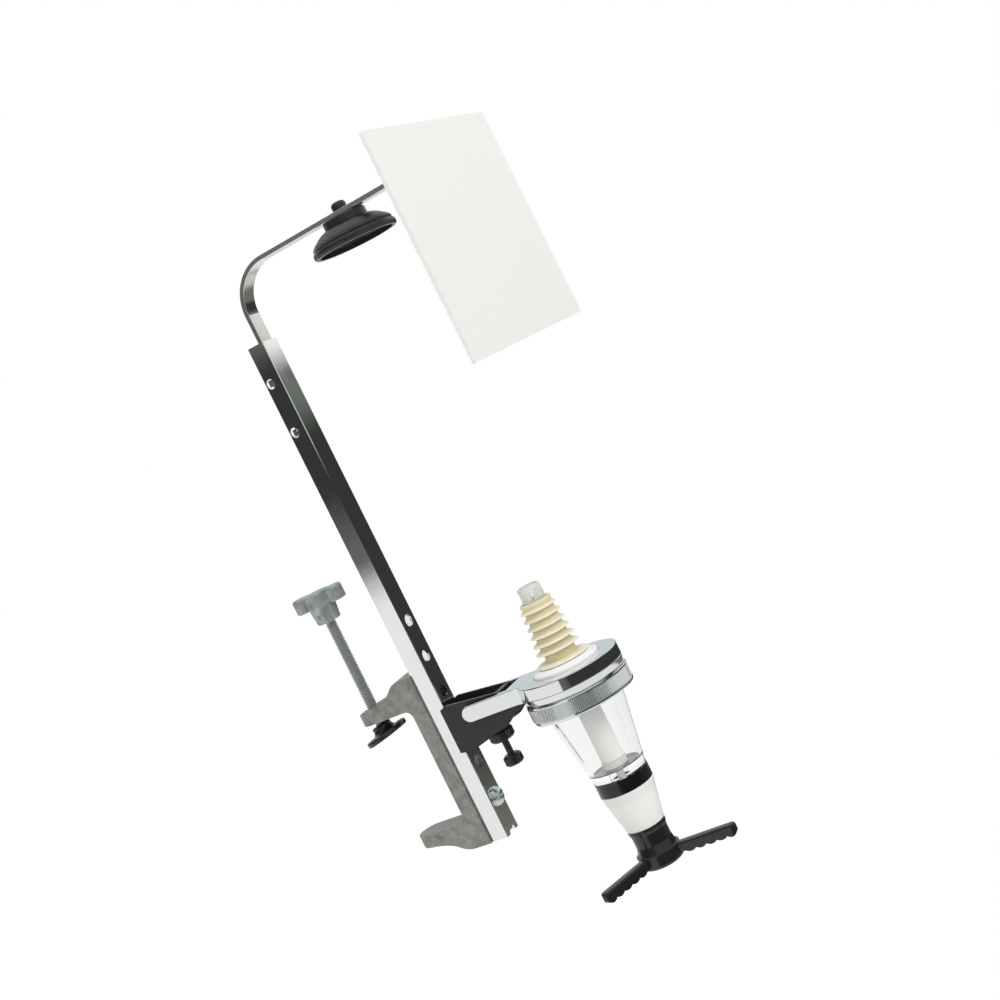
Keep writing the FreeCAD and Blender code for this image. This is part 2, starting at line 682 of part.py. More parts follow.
def make_chamber():
    outer_top = chamber_outer(LEDGE_Z)
    inner_top = outer_top - CHAMBER_WALL
    inner_floor = chamber_outer(FLOOR_Z) - CHAMBER_WALL
    points = [
        (SEAT_R, CHAMBER_FOOT_Z + 0.5),
        (SPIGOT_R - 1.8, CHAMBER_FOOT_Z + 0.5),
        (SPIGOT_R - 1.8, SPIGOT_FOOT_Z),
        (SPIGOT_R, SPIGOT_FOOT_Z),
        (SPIGOT_R, CHAMBER_FOOT_Z),
        (CHAMBER_FOOT_R, CHAMBER_FOOT_Z),
        (outer_top, LEDGE_Z),
        (CHAMBER_FLANGE_R, LEDGE_Z),
        (CHAMBER_FLANGE_R, GASKET_Z),
        (inner_top, GASKET_Z),
        (inner_top, LEDGE_Z),
        (inner_floor + 0.2, FLOOR_Z + 1.2),
        (inner_floor - 0.1, FLOOR_Z + 0.4, inner_floor - 1.0, FLOOR_Z),
        (SEAT_R, FLOOR_Z),
    ]
    return turned(points)


def make_gasket():
    inner = chamber_outer(LEDGE_Z) - CHAMBER_WALL
    return ring(inner, CHAMBER_FLANGE_R, GASKET_Z, CAP_FOOT_Z)


def make_measure_cap():
    rim = CHAMBER_FLANGE_R - 0.1
    inner = chamber_outer(LEDGE_Z)
    shoulder = CAVITY_TOP_Z - 0.1
    roof = shoulder - 2.2
    boss = TUBE_R + 2.4
    points = [
        (inner, CAP_FOOT_Z),
        (rim, CAP_FOOT_Z),
        (rim, shoulder),
        (CAP_NECK_R, shoulder),
        (CAP_NECK_R, CAP_TOP_Z - 2.1),
        (CAP_NECK_R - 0.3, CAP_TOP_Z - 1.3, CAP_NECK_R - 1.1, CAP_TOP_Z - 0.9),
        (BUNG_FLANGE_R, CAP_TOP_Z),
        (TUBE_R + FIT_GAP, CAP_TOP_Z),
        (TUBE_R + FIT_GAP, CAP_FOOT_Z + 2.5),
        (boss, CAP_FOOT_Z + 2.5),
        (boss, roof),
        (inner, roof),
    ]
    return turned(points)


def make_inlet_tube():
    points = [
        (TUBE_BORE_R, INLET_Z),
        (TUBE_R - 0.4, INLET_Z),
        (TUBE_R, INLET_Z + 0.4),
        (TUBE_R, TUBE_TOP_Z - 1.2),
        (TUBE_R - 0.35, TUBE_TOP_Z - 0.35, TUBE_R - 1.0, TUBE_TOP_Z),
        (TUBE_BORE_R, TUBE_TOP_Z - 0.3),
    ]
    tube = turned(points)
    slot = box(-TUBE_R - 1, TUBE_R + 1, OPTIC_Y - 0.5, OPTIC_Y + 0.5, BUNG_TOP_Z + 1.2, BUNG_TOP_Z + 4.6)
    slot.rotate(V(0, OPTIC_Y, 0), V(0, 0, 1), 26)
    return tube.cut(slot)


def make_bung():
    foot = CAP_TOP_Z + SOFT_GAP
    inner = TUBE_R + SOFT_GAP
    flange_top = foot + 1.8
    rib_rs = (11.4, 11.0, 10.4, 9.9, 9.7, 9.4)
    first = flange_top + 4.6
    pitch = (BUNG_TOP_Z - 4.2 - first) / (len(rib_rs) - 1)
    points = [(inner, foot), (BUNG_FLANGE_R - 0.5, foot),
              (BUNG_FLANGE_R, foot + 0.5, BUNG_FLANGE_R - 0.3, foot + 1.1)]
    points.append((inner + 2.0, flange_top))
    for i, rib_r in enumerate(rib_rs):
        z = first + i * pitch
        core = inner + 1.9 - 0.16 * i
        points.append((core, z - 0.7))
        points.append((rib_r - 0.1, z - 0.25))
        points.append((rib_r + 0.15, z, rib_r - 0.1, z + 0.25))
        points.append((core + 0.5, z + 1.5))
    points.append((inner + 2.1, BUNG_TOP_Z - 0.9))
    points.append((inner + 1.8, BUNG_TOP_Z - 0.2, inner + 1.1, BUNG_TOP_Z))
    points.append((inner, BUNG_TOP_Z))
    return turned(points)


def make_band():
    return ring(SPIGOT_R + FIT_GAP, BAND_R, BAND_FOOT_Z, CHAMBER_FOOT_Z)


def make_lower_cone():
    slope = (CONE_TOP_R - CONE_FOOT_R) / (BAND_FOOT_Z - CONE_FOOT_Z)
    guide = HUB_R + SLIDE_GAP
    guide_top = HUB_TOP_Z + TAP_STROKE + 1.5
    socket_foot = SPIGOT_FOOT_Z - 0.4
    points = [
        (guide, CONE_FOOT_Z),
        (CONE_FOOT_R, CONE_FOOT_Z),
        (CONE_TOP_R - slope * 1.0, BAND_FOOT_Z - 1.0),
        (CONE_TOP_R - 0.2, BAND_FOOT_Z - 0.2, CONE_TOP_R - 0.7, BAND_FOOT_Z),
        (SPIGOT_R + FIT_GAP, BAND_FOOT_Z),
        (SPIGOT_R + FIT_GAP, socket_foot),
        (SPIGOT_R - 1.8, socket_foot),
        (guide, guide_top),
    ]
    return turned(points)


def make_outlet_collar():
    guide = HUB_R + SLIDE_GAP
    points = [
        (guide, COLLAR_FOOT_Z),
        (COLLAR_R - 0.4, COLLAR_FOOT_Z),
        (COLLAR_R - 0.25, COLLAR_FOOT_Z + 0.4),
        (COLLAR_R, COLLAR_FOOT_Z + 1.6),
        (COLLAR_R - 0.15, CONE_FOOT_Z),
        (guide, CONE_FOOT_Z),
    ]
    return turned(points)


def make_wing(angle):
    """Press bar standing out from the hub, with a lobed underside for a wet glass rim."""
    half = WING_T / 2
    root = HUB_R - 1.4
    valley = WING_FOOT_Z + LOBE_DEPTH
    bar = box(root, WING_REACH - half, OPTIC_Y - half, OPTIC_Y + half, WING_FOOT_Z - 1, WING_TOP_Z)
    bar = joined(bar, post(half, WING_FOOT_Z - 1, WING_TOP_Z, OPTIC_Y, WING_REACH - half))
    bar = rounded(bar, 1.1, lambda m, e: abs(m.z - WING_TOP_Z) < 1e-6 and m.x > root + 1)
    first = FLANGE_R + 2.2
    pitch = (WING_REACH - first) / WING_LOBES
    points = [
        (root - 1, WING_TOP_Z + 1),
        (WING_REACH + 1, WING_TOP_Z + 1),
        (WING_REACH + 1, WING_FOOT_Z + 2.6),
        (WING_REACH, WING_FOOT_Z + 2.6),
        (WING_REACH - 2.4, WING_FOOT_Z, WING_REACH - pitch, valley),
    ]
    for i in reversed(range(WING_LOBES - 1)):
        s = first + i * pitch
        points.append((s + pitch / 2, WING_FOOT_Z, s, valley))
    points.append((root - 1, valley))
    face = outline(points, lambda s, z: V(s, OPTIC_Y - WING_T, z))
    wing = bar.common(face.extrude(V(0, 2 * WING_T, 0)))
    wing.rotate(V(0, OPTIC_Y, 0), V(0, 0, 1), angle)
    return wing


def make_press_hub():
    waist = HUB_WAIST_Z
    straight = COLLAR_FOOT_Z - TAP_STROKE - 0.2
    skirt_r = HUB_R - 0.5
    roof = HUB_TOP_Z - 2.5
    points = [
        (ROD_R + FIT_GAP, HUB_TOP_Z),
        (HUB_R - 0.5, HUB_TOP_Z),
        (HUB_R, HUB_TOP_Z - 0.5),
        (HUB_R, straight),
        (HUB_R + 0.8, waist + 0.4),
        (HUB_R + 0.95, waist + 0.1, HUB_R + 1.3, waist),
        (FLANGE_R - 0.3, waist),
        (FLANGE_R, waist - 0.3),
        (FLANGE_R - 0.2, HUB_FOOT_Z + 1.7),
        (FLANGE_R - 0.7, HUB_FOOT_Z + 0.5, FLANGE_R - 1.8, HUB_FOOT_Z),
        (skirt_r - 0.9, HUB_FOOT_Z),
        (skirt_r - 0.9, roof),
        (ROD_R + 2.0, roof),
        (ROD_R + 2.0, roof - 3.0),
        (ROD_R + FIT_GAP, roof - 3.0),
    ]
    hub = turned(points)
    port_r = 1.0
    port_at = SPRING_R + WIRE_R + 0.4 + port_r
    for i in range(6):
        port = post(port_r, roof - 1, HUB_TOP_Z + 1, OPTIC_Y, port_at)
        port.rotate(V(0, OPTIC_Y, 0), V(0, 0, 1), 60 * i)
        hub = hub.cut(port)
    for angle in WING_ANGLES:
        hub = hub.fuse(make_wing(angle))
    hollow = post(skirt_r - 0.9, HUB_FOOT_Z - 1, roof - 4.0, OPTIC_Y)
    return hub.cut(hollow).removeSplitter()


def make_nozzle():
    seat = HUB_R - 1.4 - FIT_GAP
    top = HUB_TOP_Z - 9.0
    points = [
        (3.0, HUB_FOOT_Z + 1.0),
        (4.3, HUB_FOOT_Z + 1.0),
        (4.3, top - 5.5),
        (seat, top - 4.0),
        (seat, top),
        (seat - 1.0, top),
        (3.0, top - 5.0),
    ]
    return turned(points)


def make_spindle():
    foot = HUB_TOP_Z - 5.0
    top_step = UPPER_SEAL_Z
    head = UPPER_SEAL_Z + SEAL_T
    points = [
        (0.0, foot),
        (ROD_R, foot),
        (ROD_R, STEM_FOOT_Z),
        (STEM_R - 0.6, STEM_FOOT_Z),
        (STEM_R, STEM_FOOT_Z + 0.6),
        (STEM_R, top_step - 0.6),
        (STEM_R - 0.6, top_step),
        (ROD_R, top_step),
        (ROD_R, head),
        (ROD_R + 1.3, head),
        (ROD_R + 1.3, head + 0.7),
        (ROD_R + 0.6, head + 1.3),
        (0.0, head + 1.3),
    ]
    return turned(points)


def make_upper_seal():
    return ring(ROD_R + FIT_GAP, STEM_R + 1.4, UPPER_SEAL_Z, UPPER_SEAL_Z + SEAL_T)


def make_lower_seal():
    return ring(ROD_R + FIT_GAP, STEM_R + 0.4, LOWER_SEAL_Z, STEM_FOOT_Z)


def make_return_spring():
    return coil(SPRING_R, WIRE_R, HUB_TOP_Z, CHAMBER_FOOT_Z + 0.5 - FIT_GAP, 6.5, OPTIC_Y)


PIECES = {
    "column": make_column,
    "arm_spring": make_arm_spring,
    "clamp_frame": make_clamp_frame,
    "clamp_fixing_screws": make_fixing_screws,
    "holder": make_holder,
    "plunger_body": make_plunger_body,
    "plunger_ring": make_plunger_ring,
    "plunger_pin": make_plunger_pin,
    "plunger_knob": make_plunger_knob,
    "top_arm": make_top_arm,
    "sign_pad": make_sign_pad,
    "sign_plate": make_sign_plate,
    "bottle_cup": make_bottle_cup,
    "clamp_screw": make_clamp_screw,
    "clamp_knob": make_clamp_knob,
    "knob_pin": make_knob_pin,
    "swivel_ball": make_swivel_ball,
    "clamp_pad": make_clamp_pad,
    "ring_arm": make_ring_arm,
    "lock_ring": make_lock_ring,
    "chamber": make_chamber,
    "chamber_gasket": make_gasket,
    "measure_cap": make_measure_cap,
    "inlet_tube": make_inlet_tube,
    "bung": make_bung,
    "band": make_band,
    "lower_cone": make_lower_cone,
    "outlet_collar": make_outlet_collar,
    "press_hub": make_press_hub,
    "nozzle": make_nozzle,
    "spindle": make_spindle,
    "upper_seal": make_upper_seal,
    "lower_seal": make_lower_seal,
    "return_spring": make_return_spring,
}

os.makedirs("parts", exist_ok=True)
for name, make in PIECES.items():
    shape = make()
    shape.translate(V(0, -JAW_Y, -LOWER_JAW_Z))
    print(name, shape.isValid(), len(shape.Solids), round(shape.Volume, 1))
    shape.exportStep("parts/" + name + ".step")
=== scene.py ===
import math

import bmesh
import bpy
from mathutils import Matrix, Vector


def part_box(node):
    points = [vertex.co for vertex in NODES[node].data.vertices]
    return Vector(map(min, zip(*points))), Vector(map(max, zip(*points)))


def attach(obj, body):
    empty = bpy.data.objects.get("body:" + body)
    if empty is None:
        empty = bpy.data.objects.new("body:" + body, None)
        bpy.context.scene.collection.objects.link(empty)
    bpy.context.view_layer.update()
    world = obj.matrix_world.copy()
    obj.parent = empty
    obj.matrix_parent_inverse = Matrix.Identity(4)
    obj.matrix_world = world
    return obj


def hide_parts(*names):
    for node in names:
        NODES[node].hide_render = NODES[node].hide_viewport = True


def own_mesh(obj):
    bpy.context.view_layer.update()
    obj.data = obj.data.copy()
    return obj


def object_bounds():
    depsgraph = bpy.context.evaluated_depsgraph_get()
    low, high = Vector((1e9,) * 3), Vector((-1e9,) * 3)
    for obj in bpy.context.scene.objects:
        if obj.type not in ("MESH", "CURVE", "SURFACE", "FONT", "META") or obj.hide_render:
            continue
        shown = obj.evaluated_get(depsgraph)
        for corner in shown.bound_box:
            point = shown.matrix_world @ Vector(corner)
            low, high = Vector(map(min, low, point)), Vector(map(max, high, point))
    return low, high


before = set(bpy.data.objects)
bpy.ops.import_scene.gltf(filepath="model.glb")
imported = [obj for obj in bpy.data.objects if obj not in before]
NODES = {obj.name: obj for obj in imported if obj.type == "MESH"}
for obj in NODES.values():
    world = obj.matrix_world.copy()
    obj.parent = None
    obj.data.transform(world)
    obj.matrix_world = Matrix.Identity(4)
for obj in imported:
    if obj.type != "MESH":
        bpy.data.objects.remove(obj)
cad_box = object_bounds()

MM = 0.001
UP = Vector((0, 0, 1))
DOWN = -UP
# Level line of sight of the camera, and the direction to its right
AHEAD = Vector((0.8838, 0.4678, 0)).normalized()
RIGHT = Vector((AHEAD.y, -AHEAD.x, 0))
# The measure's round pieces share one upright axis, through the middle of the lock ring
RING_LOW, RING_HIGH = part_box("lock_ring")
AXIS = (RING_LOW + RING_HIGH) / 2

# ---------------------------------------------------------------- nodes of a material


def add(tree, kind, inputs=None, **settings):
    """A node with its settings; each input given is linked to a socket or set to a value."""
    node = tree.nodes.new(kind)
    for key, value in settings.items():
        setattr(node, key, value)
    for key, source in (inputs or {}).items():
        if isinstance(source, bpy.types.NodeSocket):
            tree.links.new(source, node.inputs[key])
        else:
            node.inputs[key].default_value = source
    return node


def maths(tree, operation, *terms):
    """Result of a calculation with sockets and numbers."""
    return add(tree, "ShaderNodeMath", dict(enumerate(terms)), operation=operation).outputs[0]


def vector_maths(tree, operation, *terms):
    """Node for a calculation with sockets and vectors."""
    return add(tree, "ShaderNodeVectorMath", dict(enumerate(terms)), operation=operation)


def scaled(tree, vector, share):
    """A vector or colour times a number."""
    return add(tree, "ShaderNodeVectorMath", {0: vector, "Scale": share}, operation="SCALE").outputs[0]


def ramp(tree, source, low, high, start=0.0, end=1.0, curve="LINEAR"):
    """Goes from start to end while the source goes from low to high, and is level beyond both."""
    levels = {"Value": source, "From Min": low, "From Max": high, "To Min": start, "To Max": end}
    return add(tree, "ShaderNodeMapRange", levels, interpolation_type=curve).outputs[0]


def colour_between(tree, share, first, second):
    """Mix of two colours; a share of 1 is all of the second."""
    return add(tree, "ShaderNodeMix", {0: share, 6: first, 7: second}, data_type="RGBA").outputs[2]


def object_place(tree):
    """Coordinates that stay with the piece, in metres."""
    return add(tree, "ShaderNodeTexCoord").outputs["Object"]


def noise(tree, place, size, **inputs):
    """Soft random pattern between 0 and 1."""
    return add(tree, "ShaderNodeTexNoise", {"Vector": place, "Scale": size, **inputs}).outputs["Fac"]


def new_group(name, inputs, outputs):
    """Node group with its input sockets, their first values, and its output sockets."""
    group = bpy.data.node_groups.new(name, "ShaderNodeTree")
    for label, kind, value in inputs:
        socket = group.interface.new_socket(name=label, in_out="INPUT", socket_type=kind)
        socket.default_value = value
    for label, kind in outputs:
        group.interface.new_socket(name=label, in_out="OUTPUT", socket_type=kind)
    enter = group.nodes.new("NodeGroupInput")
    leave = group.nodes.new("NodeGroupOutput")
    return group, enter.outputs, leave.inputs


def use(tree, group, inputs):
    """A shared effect placed in a material, with its own values."""
    return add(tree, "ShaderNodeGroup", inputs, node_tree=group)


# ---------------------------------------------------------------- shared effects


def shade_drift_group():
    """A colour that wanders a little between darker and lighter, in soft patches."""
    group, enter, leave = new_group(
        "shade_drift",
        [("Colour", "NodeSocketColor", (0.5, 0.5, 0.5, 1)), ("Size", "NodeSocketFloat", 60.0),
         ("Amount", "NodeSocketFloat", 0.08)],
        [("Colour", "NodeSocketColor")])
    patches = noise(group, object_place(group), enter["Size"], Detail=4.0, Roughness=0.55)
    centred = maths(group, "SUBTRACT", patches, 0.5)
    swing = maths(group, "MULTIPLY", centred, enter["Amount"])
    level = maths(group, "MULTIPLY_ADD", swing, 2.0, 1.0)
    group.links.new(scaled(group, enter["Colour"], level), leave["Colour"])
    return group


def fine_grain_group():
    """Height of a fine even grain, such as moulded plastic, casting or orange peel."""
    group, enter, leave = new_group(
        "fine_grain",
        [("Grain", "NodeSocketFloat", 1500.0), ("Swell", "NodeSocketFloat", 120.0),
         ("Swell share", "NodeSocketFloat", 0.4)],
        [("Height", "NodeSocketFloat")])
    place = object_place(group)
    small = noise(group, place, enter["Grain"], Detail=2.0)
    large = noise(group, place, enter["Swell"], Detail=1.0)
    height = add(group, "ShaderNodeMix", {0: enter["Swell share"], 2: small, 3: large})
    group.links.new(height.outputs[0], leave["Height"])
    return group


def smudge_group():
    """Roughness with faint upright wiping marks and finger smudges between two levels."""
    group, enter, leave = new_group(
        "smudges",
        [("Clean", "NodeSocketFloat", 0.05), ("Dull", "NodeSocketFloat", 0.12),
         ("Size", "NodeSocketFloat", 45.0)],
        [("Roughness", "NodeSocketFloat")])
    streaks = add(group, "ShaderNodeMapping", {"Vector": object_place(group), "Scale": (3.0, 3.0, 0.7)})
    marks = noise(group, streaks.outputs[0], enter["Size"], Detail=6.0, Roughness=0.6)
    roughness = ramp(group, marks, low=0.45, high=0.75, start=enter["Clean"], end=enter["Dull"])
    group.links.new(roughness, leave["Roughness"])
    return group


def bung_groove_shade_group():
    """Bung colour with painted shade: tan down in the grooves between the ribs, fading to pale along their
    rims.
    """
    group, enter, leave = new_group(
        "bung_groove_shade",
        [("Groove shade", "NodeSocketColor", (0.5, 0.4, 0.2, 1)), ("Rim", "NodeSocketColor", (0.9, 0.8, 0.6, 1))],
        [("Colour", "NodeSocketColor")])
    core_foot = 61 * MM
    core_top = 91 * MM
    foot_radius = 8.4 * MM
    top_radius = 7.4 * MM
    rib_depth = 2.4 * MM
    offset = vector_maths(group, "SUBTRACT", object_place(group), (AXIS.x, AXIS.y, 0)).outputs[0]
    level = vector_maths(group, "MULTIPLY", offset, (1, 1, 0)).outputs[0]
    reach = vector_maths(group, "LENGTH", level).outputs["Value"]
    height = add(group, "ShaderNodeSeparateXYZ", {0: offset}).outputs["Z"]
    core = ramp(group, height, low=core_foot, high=core_top, start=foot_radius, end=top_radius)
    # Painted shade: near the core between the ribs the colour is the tan groove shade, and further out it is
    # the pale rim colour
    unshaded_rim_share = ramp(group, maths(group, "SUBTRACT", reach, core), low=0.0, high=rib_depth)
    group.links.new(colour_between(group, unshaded_rim_share, enter["Groove shade"], enter["Rim"]), leave["Colour"])
    return group


def drafted_lip_group():
    """Height of a lip that draws in below a given level, so that its face looks further down."""
    group, enter, leave = new_group(
        "drafted_lip",
        [("Top", "NodeSocketFloat", 0.05), ("Draft", "NodeSocketFloat", 0.15)],
        [("Height", "NodeSocketFloat")])
    level = add(group, "ShaderNodeSeparateXYZ", {0: object_place(group)}).outputs["Z"]
    below = maths(group, "MAXIMUM", maths(group, "SUBTRACT", enter["Top"], level), 0.0)
    drop = maths(group, "MULTIPLY", below, enter["Draft"])
    group.links.new(maths(group, "MULTIPLY", drop, -1.0), leave["Height"])
    return group


SHADE_DRIFT = shade_drift_group()
FINE_GRAIN = fine_grain_group()
SMUDGES = smudge_group()
BUNG_GROOVE_SHADE = bung_groove_shade_group()
DRAFTED_LIP = drafted_lip_group()

# ---------------------------------------------------------------- finishes


def finish(name, colour, clean, dull, *, drift, relief, metallic=0.0, drift_size=60.0, grain=1500.0,
           swell=120.0, swell_share=0.4, **shader_values):
    """A finish made of the shared effects: colour drift, smudged roughness, and a grain's relief in mm."""
    material = bpy.data.materials.new(name)
    material.use_nodes = True
    tree = material.node_tree
    shader = tree.nodes["Principled BSDF"]
    shade = use(tree, SHADE_DRIFT, {"Colour": colour + (1,), "Size": drift_size, "Amount": drift})
    rough = use(tree, SMUDGES, {"Clean": clean, "Dull": dull})
    grained = use(tree, FINE_GRAIN, {"Grain": grain, "Swell": swell, "Swell share": swell_share})
    bump = add(tree, "ShaderNodeBump",
               {"Height": grained.outputs["Height"], "Strength": 1.0, "Distance": relief * MM})
    tree.links.new(shade.outputs["Colour"], shader.inputs["Base Color"])
    tree.links.new(rough.outputs["Roughness"], shader.inputs["Roughness"])
    tree.links.new(bump.outputs["Normal"], shader.inputs["Normal"])
    shader.inputs["Metallic"].default_value = metallic
    for key, value in shader_values.items():
        shader.inputs[key.replace("_", " ")].default_value = value
    return material


def bright_plate(name, colour, clean, dull, drift):
    """Polished plating, with the long low ripple that polishing leaves."""
    return finish(name, colour, clean, dull, metallic=1.0, drift=drift, relief=0.012, grain=900.0,
                  swell=70.0, swell_share=0.85)


def die_cast(name, colour, clean, dull, metallic, drift_size):
    """Dull mottled casting skin."""
    return finish(name, colour, clean, dull, metallic=metallic, drift=0.70, drift_size=drift_size,
                  relief=0.07, grain=1900.0, swell=260.0, swell_share=0.25)


CHROME = bright_plate("chrome_plate", (0.86, 0.87, 0.88), 0.035, 0.075, drift=0.02)
RING_CHROME = bright_plate("ring_chrome_plate", (0.81, 0.82, 0.82), 0.035, 0.085, drift=0.02)
KNURL_CHROME = bright_plate("knurl_chrome_plate", (0.80, 0.82, 0.82), 0.05, 0.10, drift=0.03)
BRUSHED = finish("brushed_plated_steel", (0.72, 0.73, 0.71), 0.13, 0.20, metallic=1.0, drift=0.06,
                 drift_size=160.0, grain=1600.0, swell=90.0, relief=0.012)
SCREW_HEADS = finish("plated_screw_heads", (0.62, 0.68, 0.68), 0.30, 0.38, metallic=1.0, drift=0.05,
                     relief=0.012)
CAST = die_cast("die_cast_grey", (0.265, 0.275, 0.245), 0.36, 0.52, metallic=0.35, drift_size=210.0)
KNOB_CAST = die_cast("die_cast_knob_grey", (0.35, 0.395, 0.37), 0.26, 0.42, metallic=0.40, drift_size=260.0)
THREAD = finish("zinc_plated_thread", (0.40, 0.44, 0.42), 0.34, 0.46, metallic=0.55, drift=0.12,
                drift_size=200.0, relief=0.01)
ZINC = finish("zinc_plated_steel", (0.52, 0.52, 0.50), 0.22, 0.34, metallic=1.0, drift=0.08,
              drift_size=200.0, relief=0.01)
ENAMEL = finish("black_stoved_enamel", (0.016, 0.016, 0.016), 0.30, 0.42, drift=0.10, grain=700.0,
                swell=300.0, swell_share=0.5, relief=0.03)
MOULDED = finish("black_moulded_plastic", (0.013, 0.014, 0.013), 0.16, 0.26, drift=0.12, grain=1800.0,
                 relief=0.015)
BAND = finish("black_printed_band", (0.007, 0.007, 0.008), 0.18, 0.28, drift=0.08, grain=2400.0,
              relief=0.006)
CUP_RUBBER = finish("black_cup_rubber", (0.017, 0.017, 0.017), 0.28, 0.42, drift=0.12, grain=2200.0,
                    swell=350.0, relief=0.03)
BUNG_RUBBER = finish("cream_bung_rubber", (0.80, 0.74, 0.55), 0.46, 0.58, drift=0.05, drift_size=140.0,
                     grain=1300.0, relief=0.03, Subsurface_Weight=0.25, Subsurface_Scale=1.5 * MM,
                     Subsurface_Radius=(1.0, 0.85, 0.6))
SEAL = finish("pale_seal_rubber", (0.74, 0.74, 0.70), 0.45, 0.55, drift=0.05, grain=1600.0, relief=0.03)
WHITE = finish("white_moulded_plastic", (0.92, 0.92, 0.91), 0.28, 0.38, drift=0.012, relief=0.008)
SIGN = finish("white_sign_sheet", (0.875, 0.89, 0.845), 0.42, 0.46, drift=0.004, drift_size=18.0,
              grain=900.0, relief=0.004)
FROSTED = finish("frosted_outlet_plastic", (0.86, 0.86, 0.82), 0.34, 0.44, drift=0.02, grain=2000.0,
                 relief=0.012, Subsurface_Weight=0.35, Subsurface_Scale=3.0 * MM,
                 Subsurface_Radius=(1.0, 1.0, 1.0))
TUBE = finish("natural_tube_plastic", (0.93, 0.93, 0.90), 0.22, 0.32, drift=0.02, relief=0.01,
              Transmission_Weight=0.55, IOR=1.5)
CLEAR = finish("clear_chamber_plastic", (0.935, 0.945, 0.93), 0.0, 0.03, drift=0.02, grain=500.0,
               swell=110.0, swell_share=0.9, relief=0.02, Transmission_Weight=1.0, IOR=1.5)


def paint_bung_groove_shade():
    """Paints tan shade into the bung's grooves and leaves its rims pale, under the colour drift."""
    tree = BUNG_RUBBER.node_tree
    # The tan groove colour is painted shade between the ribs; the pale rim colour is used along the rib
    # edges
    ribs = use(tree, BUNG_GROOVE_SHADE, {"Groove shade": (0.70, 0.61, 0.385, 1), "Rim": (0.88, 0.845, 0.68, 1)})
    drift = next(node for node in tree.nodes if node.type == "GROUP" and node.node_tree == SHADE_DRIFT)
    tree.links.new(ribs.outputs["Colour"], drift.inputs["Colour"])


def draft_ring_lip():
    """Tilts the reflections of the ring's lip down, as on a casting with draft."""
    tree = RING_CHROME.node_tree
    normal = tree.nodes["Principled BSDF"].inputs["Normal"]
    lip = use(tree, DRAFTED_LIP, {"Top": RING_HIGH.z - 0.1 * MM, "Draft": 0.24})
    bump = add(tree, "ShaderNodeBump", {"Height": lip.outputs["Height"], "Strength": 1.0, "Distance": 1.0,
                                        "Normal": normal.links[0].from_socket})
    tree.links.new(bump.outputs["Normal"], normal)


def light_through_chamber():
    """Lamps reach the stem inside: the plastic casts only a faint shadow."""
    tree = CLEAR.node_tree
    shadow_ray = add(tree, "ShaderNodeLightPath").outputs["Is Shadow Ray"]
    alpha = ramp(tree, shadow_ray, low=0.0, high=1.0, start=1.0, end=0.12)
    tree.links.new(alpha, tree.nodes["Principled BSDF"].inputs["Alpha"])


paint_bung_groove_shade()
draft_ring_lip()
light_through_chamber()

FINISHES = {
    "column": CHROME, "top_arm": BRUSHED, "ring_arm": RING_CHROME, "lock_ring": KNURL_CHROME,
    "clamp_fixing_screws": SCREW_HEADS, "arm_spring": ZINC, "clamp_frame": CAST, "clamp_knob": KNOB_CAST,
    "clamp_screw": THREAD, "knob_pin": ZINC, "swivel_ball": ZINC, "clamp_pad": MOULDED,
    "holder": ENAMEL, "plunger_body": ENAMEL, "plunger_pin": ENAMEL, "plunger_knob": ENAMEL,
    "plunger_ring": CUP_RUBBER, "sign_pad": SEAL, "sign_plate": SIGN, "bottle_cup": CUP_RUBBER,
    "chamber": CLEAR, "chamber_gasket": SEAL, "measure_cap": WHITE, "inlet_tube": TUBE, "bung": BUNG_RUBBER,
    "band": BAND, "lower_cone": FROSTED, "outlet_collar": MOULDED, "press_hub": MOULDED, "nozzle": MOULDED,
    "spindle": WHITE, "upper_seal": SEAL, "lower_seal": SEAL, "return_spring": ZINC,
}
for node, material in FINISHES.items():
    mesh = NODES[node].data
    mesh.materials.clear()
    mesh.materials.append(material)

# ---------------------------------------------------------------- knurled lock ring


def solid_piece(name, mesh, material, sharp=30):
    """Turns a bmesh into an object with smooth faces between its sharp edges."""
    bmesh.ops.recalc_face_normals(mesh, faces=mesh.faces)
    data = bpy.data.meshes.new(name)
    mesh.to_mesh(data)
    mesh.free()
    data.polygons.foreach_set("use_smooth", [True] * len(data.polygons))
    data.set_sharp_from_angle(angle=math.radians(sharp))
    data.materials.append(material)
    piece = bpy.data.objects.new(name, data)
    bpy.context.collection.objects.link(piece)
    return piece


def points_round_axis(mesh, reaches, height):
    """A ring of points about the measure's axis, one at each reach, height mm above the lock ring's foot."""
    points = []
    for place, reach in enumerate(reaches):
        angle = 2 * math.pi * place / len(reaches)
        points.append(mesh.verts.new((AXIS.x + reach * MM * math.cos(angle),
                                      AXIS.y + reach * MM * math.sin(angle), RING_LOW.z + height * MM)))
    return points


